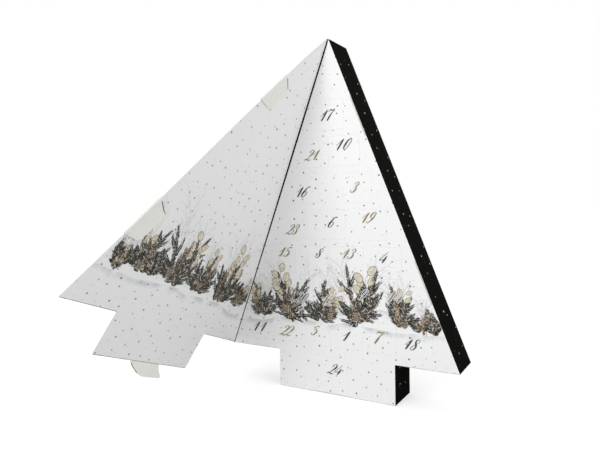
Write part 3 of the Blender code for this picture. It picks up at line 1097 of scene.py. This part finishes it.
def draw_cone(page, lot, height, lift):
    """A cone that stands on its base: rows of bark-brown scales with a pale lip, the lower over the upper."""
    lozenge(page, 0, 0, math.pi / 2, height, height * 0.56, lift, NIGHT, 16)
    for row in range(6, -1, -1):
        share = row / 7
        z = height * (0.04 + 0.8 * share)
        wide = height * 0.5 * math.sin(math.pi * (0.22 + 0.66 * share)) ** 0.8
        for place in range(-2 + row % 2, 3):
            x = place * wide / 4.4
            tilt = math.pi / 2 - place * 0.22
            over = lift + (0.01 + 0.008 * (6 - row) + (0.004 if place % 2 else 0)) * MM
            lozenge(page, x, z, tilt, height * 0.2, height * 0.13, over, BARK, 6)
            z_lip = z + height * 0.015
            lozenge(page, x, z_lip, tilt, height * 0.09, height * 0.085, over + 0.002 * MM, FROST, 6)


print("five kinds of greenery ready")

# %% [markdown]
# ## Laying out the garland
# The border is a garland of bunches. A bunch has its place from the middle of the board, the height of its
# foot and its reach, in millimetres. Layer by layer, from the pale twigs at the back to the cones at the
# front, its twigs fan out from the foot. Each one lies a little above the one before, so none of them fight
# for one depth.

# %% Bunches and their layers
FRONT_BUNCHES = [(-113, 97, 44), (-66, 96, 74), (-12, 98, 56), (38, 96, 80), (88, 99, 52), (122, 94, 30)]
LEAF_BUNCHES = [(-116, 101, 42), (-70, 99, 76), (-18, 101, 58), (32, 99, 80), (84, 101, 58), (119, 97, 30)]
# A layer: what it draws, how many of it a bunch has, the fan's first and last direction in degrees, and the
# least and the most of the bunch's reach.
LAYERS = [(draw_bare, 2, 62, 118, 0.8, 1.05), (draw_pods, 1, 70, 110, 0.75, 0.95),
          (draw_fir, 7, 20, 160, 0.72, 1.0), (draw_berries, 1, 55, 125, 0.5, 0.7),
          (draw_cone, 1, 80, 100, 0.16, 0.2)]
SHORTER_SIDEWAYS = {draw_fir, draw_berries}
FIRST_LIFT = 0.03 * MM
TOP_LIFT = 0.20 * MM


def drawn_plants(bunches, seed):
    """Each piece of greenery as a bmesh in its place, far ones first."""
    lot = random.Random(seed)
    plants = []
    for draw, count, low_turn, high_turn, low_size, high_size in LAYERS:
        for x, z, reach in bunches:
            for place in range(count):
                turn = low_turn + (high_turn - low_turn) * (place + lot.uniform(0.2, 0.8)) / count
                size = reach * lot.uniform(low_size, high_size)
                if draw in SHORTER_SIDEWAYS:
                    size *= 0.42 + 0.58 * math.sin(math.radians(turn)) ** 4
                plants.append((draw, x + lot.uniform(-9, 9), z + lot.uniform(-4, 4), size, turn))
    for place, (draw, x, z, size, turn) in enumerate(plants):
        page = bmesh.new()
        draw(page, lot, size * MM, FIRST_LIFT + (TOP_LIFT - FIRST_LIFT) * place / len(plants))
        turned = Matrix.Rotation(math.radians(90 - turn), 4, "Y")
        bmesh.ops.transform(page, verts=page.verts, matrix=Matrix.Translation((x * MM, 0, z * MM)) @ turned)
        yield page


print(len(FRONT_BUNCHES), "bunches on the front,", len(LEAF_BUNCHES), "on the leaf")

# %% [markdown]
# ## Printing the front
# A plant that grows across a door has to open with it. So each plant is cut along the outline of every door
# that it touches: what lies inside goes to the door's page and what lies outside stays on the board's.


# %% Cut the plants along the doors
FRONT_MARGIN = 0.25 * MM


def trim(page, corners):
    """Keep what lies inside a convex outline, given anticlockwise as pairs."""
    for index, (x, z) in enumerate(corners):
        following = corners[(index + 1) % len(corners)]
        outwards = Vector((following[1] - z, 0, x - following[0]))
        cut_plane(page, (x, 0, z), outwards, clear=True)


def add_to(book, name, page):
    """Move what a page has on to the one that the book keeps under a name."""
    if len(page.faces):
        carrier = bpy.data.meshes.new("carrier")
        page.to_mesh(carrier)
        if name not in book:
            book[name] = bmesh.new()
        book[name].from_mesh(carrier)
        bpy.data.meshes.remove(carrier)
    page.free()


def rectangle(low, high, edge):
    left, bottom, right_side, top = low.x + edge, low.z + edge, high.x - edge, high.z - edge
    return [(left, bottom), (right_side, bottom), (right_side, top), (left, top)]


book = {}
openings = {node: opening_of(node) for node in DOORS}
for page in drawn_plants(FRONT_BUNCHES, 1):
    trim(page, [(-TREE_HALF + (CREASE_LOW + CREASE_SPREAD) / SLOPE.z, TREE_FOOT),
                (TREE_HALF - FRONT_MARGIN, TREE_FOOT), (FRONT_MARGIN, APEX), (-FRONT_MARGIN, APEX)])
    xs = [vert.co.x for vert in page.verts]
    zs = [vert.co.z for vert in page.verts]
    for node, (low, high) in openings.items():
        if max(xs) < low.x or min(xs) > high.x or max(zs) < low.z or min(zs) > high.z:
            continue
        part = page.copy()
        trim(part, rectangle(low, high, HAIRLINE))
        add_to(book, node, part)
        for normal in ((1, 0, 0), (0, 0, 1)):
            for corner in (low, high):
                cut_plane(page, corner, normal)
        covered = []
        for face in page.faces:
            middle = face.calc_center_median()
            if low.x < middle.x < high.x and low.z < middle.z < high.z:
                covered.append(face)
        bmesh.ops.delete(page, geom=covered, context="FACES")
    add_to(book, "front", page)
for page in book.values():
    bmesh.ops.translate(page, verts=page.verts, vec=(0, FRONT, 0))
print("pages:", {name: len(page.faces) for name, page in book.items()})

# %% [markdown]
# ## Numbers
# The numbers are written with a pointed pen: hairlines going up, swelling strokes coming down. A stroke is a
# Bezier curve whose bevel follows the pressure of the pen, which is the radius at each knot. It is made a
# mesh and pressed almost flat on to its door. Drawn this way, a digit is a few knots that are easily moved,
# where a font would bring a file and a thickness of its own.

# %% Pen strokes of the ten digits
# A knot has its place and the stroke's width there, in hundredths of the digit's height.
PEN = {
    "0": [[(3, 100, 3.5), (-13, 86, 8.5), (-20, 50, 13), (-14, 13, 9), (0, 0, 3.5), (14, 15, 4), (20, 50, 5),
           (15, 86, 5), (3, 100, 3.5)]],
    "1": [[(-40, 44, 2), (-26, 58, 3), (0, 98, 3.5)],
          [(0, 100, 3), (0, 85, 10), (0, 50, 13), (0, 15, 12), (0, 0, 6)]],
    "2": [[(-17, 74, 8.5), (-20, 84, 5), (-10, 98, 3.5), (8, 100, 5), (20, 84, 11), (16, 62, 12), (0, 34, 6),
           (-22, 6, 3), (-32, 2, 3), (-30, 12, 3), (-16, 14, 6), (4, 3, 11), (18, 0, 6), (32, 14, 2)]],
    "3": [[(-15, 78, 8), (-17, 87, 4), (-6, 99, 3.5), (10, 99, 5), (19, 84, 10), (12, 64, 7), (-2, 54, 3)],
          [(-2, 54, 3), (12, 54, 5), (21, 36, 12), (18, 12, 11), (2, 0, 5), (-15, 4, 3.5), (-22, 15, 6),
           (-18, 20, 8)]],
    "4": [[(2, 102, 3), (-10, 74, 3.5), (-34, 30, 4), (-30, 26, 5), (0, 31, 5), (32, 30, 2.5)],
          [(15, 66, 3), (14, 52, 10), (13, 20, 13), (12, -2, 6)]],
    "5": [[(-8, 96, 3.5), (-14, 58, 4), (2, 64, 5), (19, 48, 11), (20, 20, 12), (2, 0, 5), (-14, 3, 3.5),
           (-22, 14, 6), (-18, 19, 8)],
          [(-8, 96, 5), (3, 95, 9), (12, 95, 8), (20, 102, 2)]],
    "6": [[(24, 90, 6), (20, 98, 4), (4, 95, 5), (-12, 70, 9), (-20, 34, 13), (-12, 6, 9), (3, 0, 4),
           (17, 14, 5), (19, 36, 6), (8, 52, 4), (-6, 48, 3), (-17, 30, 3)]],
    "7": [[(-38, 80, 2), (-34, 93, 4), (-23, 97, 9), (-8, 92, 9), (4, 94, 5), (12, 100, 3), (6, 68, 6),
           (3, 36, 12), (4, 0, 10)]],
    "8": [[(20, 84, 3), (10, 99, 3.5), (-6, 98, 5), (-14, 80, 9), (-2, 60, 13), (14, 38, 12), (14, 12, 7),
           (0, 0, 3.5), (-17, 8, 3.5), (-18, 28, 4), (-2, 50, 3), (15, 68, 3), (20, 84, 3)]],
    "9": [[(18, 68, 3), (8, 50, 3), (-6, 47, 4), (-18, 62, 10), (-15, 86, 11), (0, 100, 4), (14, 94, 5),
           (20, 72, 8), (15, 40, 11), (2, 12, 6), (-14, 0, 3.5), (-25, 7, 6), (-23, 13, 8)]],
}
print("pen strokes for", len(PEN), "digits")

# %% [markdown]
# Two inks write the numbers: black, and a bronze that has a little metal in it. A number that lies on dark
# print has a pale edge, which is the same writing with more pressure, laid under it.


# %% Write the numbers
ADVANCE = 0.58
BEFORE_FOUR = 0.10
WIDE_NUMBERS = {21: 0.16, 10: 0.14, 11: 0.20, 20: 0.12}
PEN_SLANT = 0.72
PRESSURE = 1.38
PEN_FLAT = 0.004
BLACK_NUMBERS = {1, 4, 6, 8, 9, 10, 11, 16, 17, 18, 20, 24}
EDGED_NUMBERS = {2, 9, 12, 14, 20}
# A number's middle, from the middle of the board and from its foot, and its height, in millimetres.
NUMBER_PLACES = {
    17: (-3.0, 357.2, 13.5), 21: (-24.0, 308.6, 12.8), 10: (19.8, 319.4, 13.7), 16: (-40.8, 261.8, 13.3),
    3: (33.5, 265.6, 12.5), 23: (-56.6, 212.7, 12.8), 6: (1.6, 222.5, 13.1), 19: (51.5, 228.0, 12.9),
    15: (-69.9, 182.7, 13.0), 8: (-17.9, 182.2, 12.2), 13: (24.4, 183.0, 12.4), 4: (71.0, 179.8, 13.2),
    2: (-85.3, 138.5, 12.6), 20: (-45.2, 122.6, 12.8), 12: (-6.1, 122.0, 12.8), 9: (43.0, 132.7, 12.4),
    14: (84.2, 133.1, 13.8), 11: (-113.0, 77.5, 14.0), 22: (-68.9, 76.2, 13.6), 5: (-26.2, 81.0, 12.6),
    1: (19.8, 78.9, 12.8), 7: (61.8, 81.3, 15.4), 18: (104.4, 77.9, 13.1), 24: (2.5, 33.4, 12.9),
}
NUMBER_LIFT = 0.34 * MM
EDGE_LIFT = 0.29 * MM
EDGE_SWELL = 0.17


def pen_stroke(knots, shift, height, swell):
    """The mesh of one stroke, in metres, pressed nearly flat."""
    curve = bpy.data.curves.new("stroke", "CURVE")
    curve.dimensions = "3D"
    spline = curve.splines.new("BEZIER")
    spline.bezier_points.add(len(knots) - 1)
    for knot, values in zip(spline.bezier_points, knots):
        x, z, width = [value / 100 for value in values]
        knot.co = ((x + shift + PEN_SLANT * z) * height, 0, z * height)
        knot.handle_left_type = knot.handle_right_type = "AUTO"
        knot.radius = (width * PRESSURE + swell) / 2
    spline.resolution_u = 6
    curve.bevel_depth = height
    curve.bevel_resolution = 1
    curve.use_fill_caps = True
    thing = bpy.data.objects.new("stroke", curve)
    mesh = bpy.data.meshes.new_from_object(thing)
    bpy.data.objects.remove(thing)
    mesh.transform(Matrix.Diagonal((1, PEN_FLAT, 1, 1)))
    return mesh


def write_number(number, ink, lift, swell=0.0):
    """A number as one bmesh in its place on the front."""
    x, z, height = NUMBER_PLACES[number]
    height *= MM
    page = bmesh.new()
    digits = str(number)
    advance = ADVANCE + WIDE_NUMBERS.get(number, 0)
    for place, digit in enumerate(digits):
        shift = (place - (len(digits) - 1) / 2) * advance + (BEFORE_FOUR if place and digit == "4" else 0)
        for knots in PEN[digit]:
            page.from_mesh(pen_stroke(knots, shift, height, swell))
    for face in page.faces:
        face.material_index = ink
    bmesh.ops.translate(page, verts=page.verts,
                        vec=(x * MM - PEN_SLANT * height / 2, FRONT - lift, z * MM - height / 2))
    return page


for number in NUMBER_PLACES:
    node = f"door_{number:02d}"
    if number in EDGED_NUMBERS:
        add_to(book, node, write_number(number, WHITE, EDGE_LIFT, EDGE_SWELL))
    add_to(book, node, write_number(number, BLACK if number in BLACK_NUMBERS else BRONZE, NUMBER_LIFT))
print(len(NUMBER_PLACES), "numbers written")

# %% [markdown]
# The pages become pieces now. The board's print rides on the box. A door's print goes through the same step
# as its board.

# %% Print the front
for name, page in book.items():
    printed = finished(name + "_print", page, INKS)
    if name == "front":
        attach(printed, "box")
    else:
        hang(printed, name)
print(len(book), "prints on the front")

# %% [markdown]
# ## Printing the cover leaf
# The leaf has a border of its own on the inside and another on the outside. Both are drawn on the shut leaf,
# cut along its slopes, and then bent and turned open with it.


# %% Print the leaf
LEAF_MARGIN = 2.7 * MM
LEAF_TOP_MARGIN = 3.6 * MM


def print_leaf(name, bunches, seed, outside):
    pages = {}
    for page in drawn_plants(bunches, seed):
        trim(page, [(-TREE_HALF + LEAF_MARGIN, TREE_FOOT), (TREE_HALF - LEAF_MARGIN, TREE_FOOT),
                    (0, APEX - LEAF_TOP_MARGIN)])
        add_to(pages, name, page)
    page = pages[name]
    if outside:
        bmesh.ops.translate(page, verts=page.verts, vec=(0, LEAF_INNER - LEAF_BOARD, 0))
    else:
        bmesh.ops.transform(page, matrix=Matrix.Diagonal((1, -1, 1, 1)), verts=page.verts)
        bmesh.ops.reverse_faces(page, faces=page.faces)
        bmesh.ops.translate(page, verts=page.verts, vec=(0, LEAF_INNER, 0))
    bend(page)
    printed = finished(name, page, INKS)
    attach(printed, "cover")
    return printed


inner_print = print_leaf("leaf_inner_print", LEAF_BUNCHES, 2, False)
outer_print = print_leaf("leaf_outer_print", FRONT_BUNCHES, 3, True)
print("leaf prints:", len(inner_print.data.polygons), len(outer_print.data.polygons), "faces")
